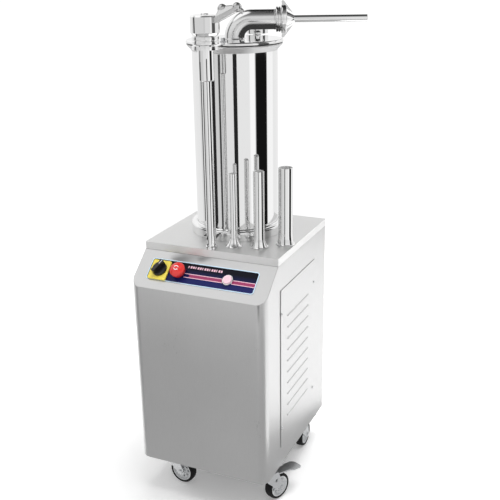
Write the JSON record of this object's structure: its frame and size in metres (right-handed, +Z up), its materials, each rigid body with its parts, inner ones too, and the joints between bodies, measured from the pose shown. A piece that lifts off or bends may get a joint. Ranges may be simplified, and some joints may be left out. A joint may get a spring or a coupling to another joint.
{
  "type": "sausage stuffer",
  "caption": "Free-standing hydraulic sausage stuffer: steel cabinet on castors, upright filling cylinder, swing lid with elbow outlet and horn, sloped control face.",
  "frame": {"origin": "on the floor, under the middle of the whole machine's box with the horn fitted", "axes": "+Z up, the control side faces -Y, the filling horn points towards +X and a little towards +Y"},
  "size_m": [0.4956, 0.466, 1.319],
  "materials": {
    "brushed_steel": "satin brushed stainless sheet",
    "polished_steel": "mirror-polished stainless",
    "dark_paint": "satin paint",
    "zinc": "zinc plated",
    "black_plastic": "satin",
    "red_plastic": "gloss",
    "yellow_plastic": "satin",
    "pale_plastic": "gloss",
    "overlay_film": "satin film",
    "seal_rubber": "smooth food-grade rubber",
    "wheel_plastic": "moulded",
    "tyre_rubber": "smooth tread"
  },
  "bodies": {
    "cabinet": {"cabinet_shell": "brushed_steel", "top_plate": "brushed_steel", "rear_panel": "brushed_steel", "access_panel": "brushed_steel", "base_plate": "brushed_steel", "filling_cylinder": "polished_steel", "base_collar": "polished_steel", "column": "polished_steel", "rear_post": "polished_steel", "rear_claw": "polished_steel", "ram_barrel": "dark_paint", "oil_tank": "dark_paint", "motor": "dark_paint", "start_bezel": "zinc", "ram_gland": "zinc", "pump": "zinc", "pressure_hose": "black_plastic", "stop_collar": "red_plastic", "switch_plate": "yellow_plastic", "control_overlay": "overlay_film", "castor_front_left_plate": "zinc", "castor_front_right_plate": "zinc", "castor_rear_right_plate": "zinc", "castor_rear_left_plate": "zinc"},
    "piston": {"piston": "brushed_steel", "piston_seal": "seal_rubber", "piston_rod": "zinc"},
    "lid": {"lid": "polished_steel", "lid_seal": "seal_rubber", "lid_sleeve": "polished_steel", "bleed_screw": "zinc", "elbow": "polished_steel"},
    "lock": {"lock_head": "polished_steel", "lock_lever": "polished_steel"},
    "horn": {"fitted_horn": "polished_steel"},
    "union_nut": {"union_nut": "polished_steel"},
    "horn_small": {"horn_small": "polished_steel"},
    "horn_medium": {"horn_medium": "polished_steel"},
    "horn_large": {"horn_large": "polished_steel"},
    "switch_knob": {"switch_knob": "black_plastic"},
    "stop_button": {"stop_button": "red_plastic"},
    "start_button": {"start_button": "pale_plastic"},
    "castor_front_left_swivel": {"castor_front_left_fork": "zinc", "castor_front_left_axle": "zinc"},
    "castor_front_left_wheel": {"castor_front_left_core": "wheel_plastic", "castor_front_left_tyre": "tyre_rubber"},
    "castor_front_right_swivel": {"castor_front_right_fork": "zinc", "castor_front_right_axle": "zinc"},
    "castor_front_right_wheel": {"castor_front_right_core": "wheel_plastic", "castor_front_right_tyre": "tyre_rubber"},
    "castor_front_right_pedal": {"castor_front_right_pedal": "zinc"},
    "castor_rear_right_swivel": {"castor_rear_right_fork": "zinc", "castor_rear_right_axle": "zinc"},
    "castor_rear_right_wheel": {"castor_rear_right_core": "wheel_plastic", "castor_rear_right_tyre": "tyre_rubber"},
    "castor_rear_right_pedal": {"castor_rear_right_pedal": "zinc"},
    "castor_rear_left_swivel": {"castor_rear_left_fork": "zinc", "castor_rear_left_axle": "zinc"},
    "castor_rear_left_wheel": {"castor_rear_left_core": "wheel_plastic", "castor_rear_left_tyre": "tyre_rubber"}
  },
  "joints": [
    {"name": "piston_lift", "type": "slide", "parent": "cabinet", "child": "piston", "axis": [0, 0, 1], "range_m": [0, 0.44]},
    {"name": "lid_swing", "type": "hinge", "parent": "cabinet", "child": "lid", "pos_m": [-0.05858, -0.1303, 1.19], "axis": [0, 0, 1], "range_deg": [0, 120]},
    {"name": "lock_turn", "type": "hinge", "parent": "cabinet", "child": "lock", "pos_m": [-0.05858, -0.1303, 1.2668], "axis": [0, 0, 1], "range_deg": [0, 180]},
    {"name": "horn_pull", "type": "slide", "parent": "lid", "child": "horn", "axis": [0.9205, 0.3907, 0], "range_m": [0, 0.1]},
    {"name": "union_nut_turn", "type": "hinge", "parent": "horn", "child": "union_nut", "pos_m": [0.04912, 0.10402, 1.2675], "axis": [0.9205, 0.3907, 0], "continuous": true},
    {"name": "horn_small_lift", "type": "slide", "parent": "cabinet", "child": "horn_small", "axis": [0, 0, 1], "range_m": [0, 0.15]},
    {"name": "horn_medium_lift", "type": "slide", "parent": "cabinet", "child": "horn_medium", "axis": [0, 0, 1], "range_m": [0, 0.15]},
    {"name": "horn_large_lift", "type": "slide", "parent": "cabinet", "child": "horn_large", "axis": [0, 0, 1], "range_m": [0, 0.15]},
    {"name": "switch_turn", "type": "hinge", "parent": "cabinet", "child": "switch_knob", "pos_m": [-0.17978, -0.1939, 0.65882], "axis": [0, 0.6374, -0.7705], "range_deg": [0, 90]},
    {"name": "stop_press", "type": "slide", "parent": "cabinet", "child": "stop_button", "axis": [0, 0.6374, -0.7705], "range_m": [0, 0.005], "stiffness_N_per_m": 500, "springref_m": -0.002},
    {"name": "start_press", "type": "slide", "parent": "cabinet", "child": "start_button", "axis": [0, 0.6374, -0.7705], "range_m": [0, 0.003], "stiffness_N_per_m": 500, "springref_m": -0.002},
    {"name": "castor_front_left_swivel", "type": "hinge", "parent": "cabinet", "child": "castor_front_left_swivel", "pos_m": [-0.18778, -0.158, 0.0875], "axis": [0, 0, 1], "continuous": true},
    {"name": "castor_front_left_roll", "type": "hinge", "parent": "castor_front_left_swivel", "child": "castor_front_left_wheel", "pos_m": [-0.15397, -0.16155, 0.0375], "axis": [0.1045, 0.9945, 0], "continuous": true},
    {"name": "castor_front_right_swivel", "type": "hinge", "parent": "cabinet", "child": "castor_front_right_swivel", "pos_m": [0.10722, -0.16, 0.0875], "axis": [0, 0, 1], "continuous": true},
    {"name": "castor_front_right_roll", "type": "hinge", "parent": "castor_front_right_swivel", "child": "castor_front_right_wheel", "pos_m": [0.11995, -0.12848, 0.0375], "axis": [-0.9272, 0.3746, 0], "continuous": true},
    {"name": "castor_front_right_brake", "type": "hinge", "parent": "castor_front_right_swivel", "child": "castor_front_right_pedal", "pos_m": [0.11845, -0.13218, 0.0815], "axis": [-0.9272, 0.3746, 0], "range_deg": [-9, 0]},
    {"name": "castor_rear_right_swivel", "type": "hinge", "parent": "cabinet", "child": "castor_rear_right_swivel", "pos_m": [0.09372, 0.112, 0.0875], "axis": [0, 0, 1], "continuous": true},
    {"name": "castor_rear_right_roll", "type": "hinge", "parent": "castor_rear_right_swivel", "child": "castor_rear_right_wheel", "pos_m": [0.09372, 0.146, 0.0375], "axis": [-1, 0, 0], "continuous": true},
    {"name": "castor_rear_right_brake", "type": "hinge", "parent": "castor_rear_right_swivel", "child": "castor_rear_right_pedal", "pos_m": [0.09372, 0.142, 0.0815], "axis": [-1, 0, 0], "range_deg": [-9, 0]},
    {"name": "castor_rear_left_swivel", "type": "hinge", "parent": "cabinet", "child": "castor_rear_left_swivel", "pos_m": [-0.20778, 0.117, 0.0875], "axis": [0, 0, 1], "continuous": true},
    {"name": "castor_rear_left_roll", "type": "hinge", "parent": "castor_rear_left_swivel", "child": "castor_rear_left_wheel", "pos_m": [-0.19898, 0.14984, 0.0375], "axis": [-0.9659, 0.2588, 0], "continuous": true}
  ]
}
